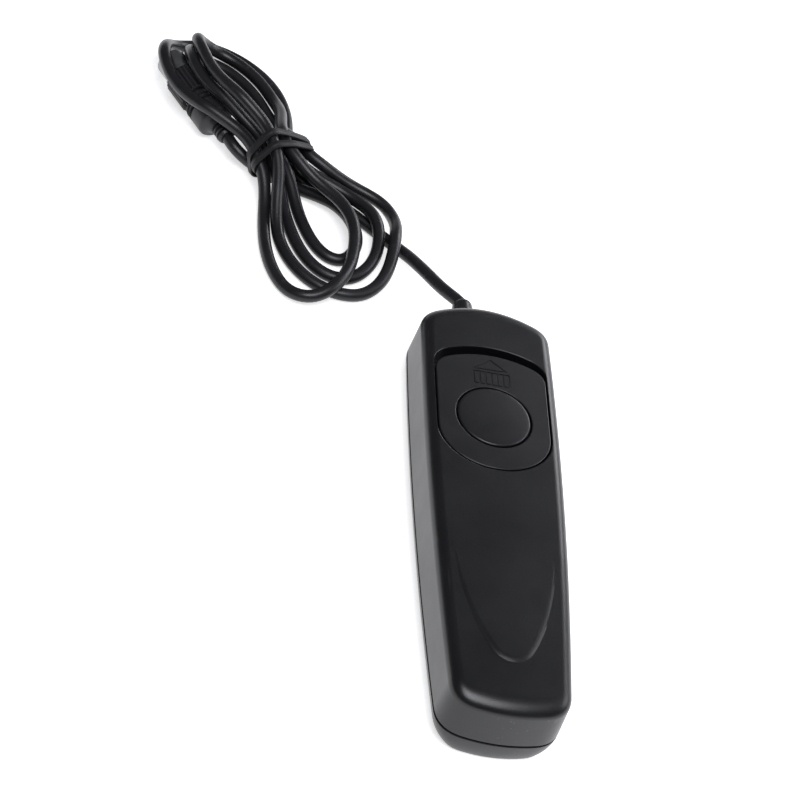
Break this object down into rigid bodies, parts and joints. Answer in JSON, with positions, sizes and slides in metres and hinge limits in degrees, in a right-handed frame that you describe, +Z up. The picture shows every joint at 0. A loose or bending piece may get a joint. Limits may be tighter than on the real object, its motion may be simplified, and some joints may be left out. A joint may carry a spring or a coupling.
{
  "type": "cable shutter release",
  "caption": "Hand-held wired remote release: two moulded shells, round button in a sliding hold plate, leaf contacts inside, and a cable wound in a tied hank with a locking plug.",
  "frame": {"origin": "middle of the casing's resting face, which is the lowest point of the back shell", "axes": "+Y along the casing towards the cable end, +Z up through the button, +X to the right seen from the front with the cable end away"},
  "size_m": [0.0851, 0.1893, 0.0179],
  "materials": {
    "shell": "fine moulded texture",
    "slide": "fine moulded texture",
    "button": "satin moulded",
    "cable": "smooth satin jacket",
    "tie": "satin",
    "plug": "satin moulded",
    "steel": "bright",
    "brass": "bright",
    "insulator": "plain",
    "conductor_white": "plain insulation",
    "conductor_yellow": "plain insulation",
    "conductor_red": "plain insulation"
  },
  "bodies": {
    "casing": {"front_shell": "shell", "back_shell": "shell", "contact_base": "insulator", "shutter_leaf": "brass", "spacer_lower": "insulator", "focus_leaf": "brass", "spacer_upper": "insulator", "common_leaf": "brass", "stack_clamp": "steel", "stack_screw_left": "steel", "stack_screw_right": "steel", "case_screw_bottom": "steel", "case_screw_top": "steel", "cable_grommet": "cable", "cable_jacket": "cable", "conductor_shutter": "conductor_white", "conductor_focus": "conductor_yellow", "conductor_common": "conductor_red", "cable_clamp": "insulator", "clamp_screw_left": "steel", "clamp_screw_right": "steel", "cord_lead": "cable", "cord_hank": "cable", "cord_tail": "cable", "tie_wire": "tie", "plug_boot": "plug", "plug_barrel": "steel", "plug_insert": "plug", "pin_first": "brass", "pin_second": "brass", "pin_third": "brass"},
    "slide": {"hold_slide": "slide"},
    "button": {"release_button": "button"},
    "ring": {"plug_ring": "plug"}
  },
  "joints": [
    {"name": "hold_slide_travel", "type": "slide", "parent": "casing", "child": "slide", "axis": [0, 1, 0], "range_m": [0, 0.0018]},
    {"name": "release_press", "type": "slide", "parent": "slide", "child": "button", "axis": [0, 0, -1], "range_m": [0, 0.0015], "stiffness_N_per_m": 600, "springref_m": -0.0003, "deforming": ["common_leaf", "focus_leaf", "shutter_leaf"]},
    {"name": "plug_ring_pull", "type": "slide", "parent": "casing", "child": "ring", "axis": [0.52, -0.8542, 0], "range_m": [0, 0.0015], "stiffness_N_per_m": 400, "springref_m": -0.0003}
  ]
}
